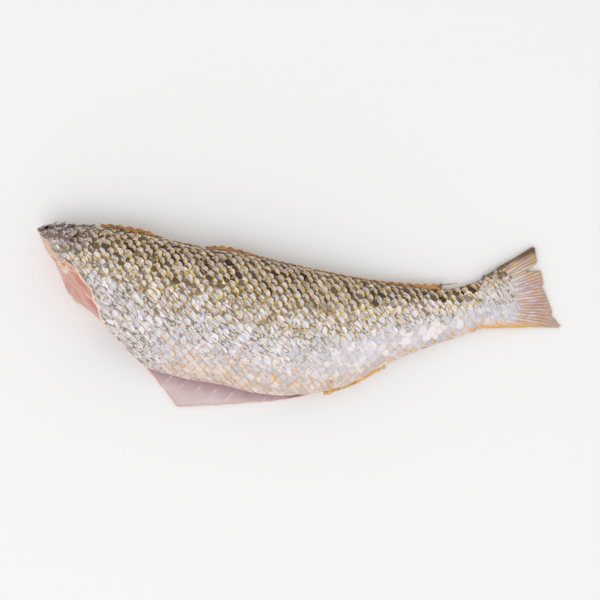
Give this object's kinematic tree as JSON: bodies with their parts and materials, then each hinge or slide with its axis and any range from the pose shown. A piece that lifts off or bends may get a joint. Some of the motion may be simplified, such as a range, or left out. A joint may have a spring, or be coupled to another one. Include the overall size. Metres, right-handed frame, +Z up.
{
  "type": "headed and gutted raw fish",
  "caption": "Raw scaled fish, headed and gutted, with trimmed fins, its tail and an open belly, lying on its side.",
  "frame": {"origin": "centre of the fish's bounding box, on the flat surface it lies on", "axes": "+X from the head cut to the tail, +Y from the belly to the back, +Z up out of the left flank; the fish lies on its right side"},
  "size_m": [0.3384, 0.1186, 0.0463],
  "materials": {
    "scaled_skin": "wet, silvery, olive and brown on the back and yellow at the belly",
    "fin": "thin wet membrane over rays",
    "cut_fin": "moist cut ends of fin rays",
    "raw_flesh": "moist pink cut flesh",
    "belly_lining": "smooth moist membrane"
  },
  "bodies": {
    "root": {"body": "scaled_skin", "tail_fin": "fin", "spiny_dorsal_fin_stub": "cut_fin", "soft_dorsal_fin_stub": "cut_fin", "anal_fin_stub": "cut_fin"}
  },
  "joints": []
}
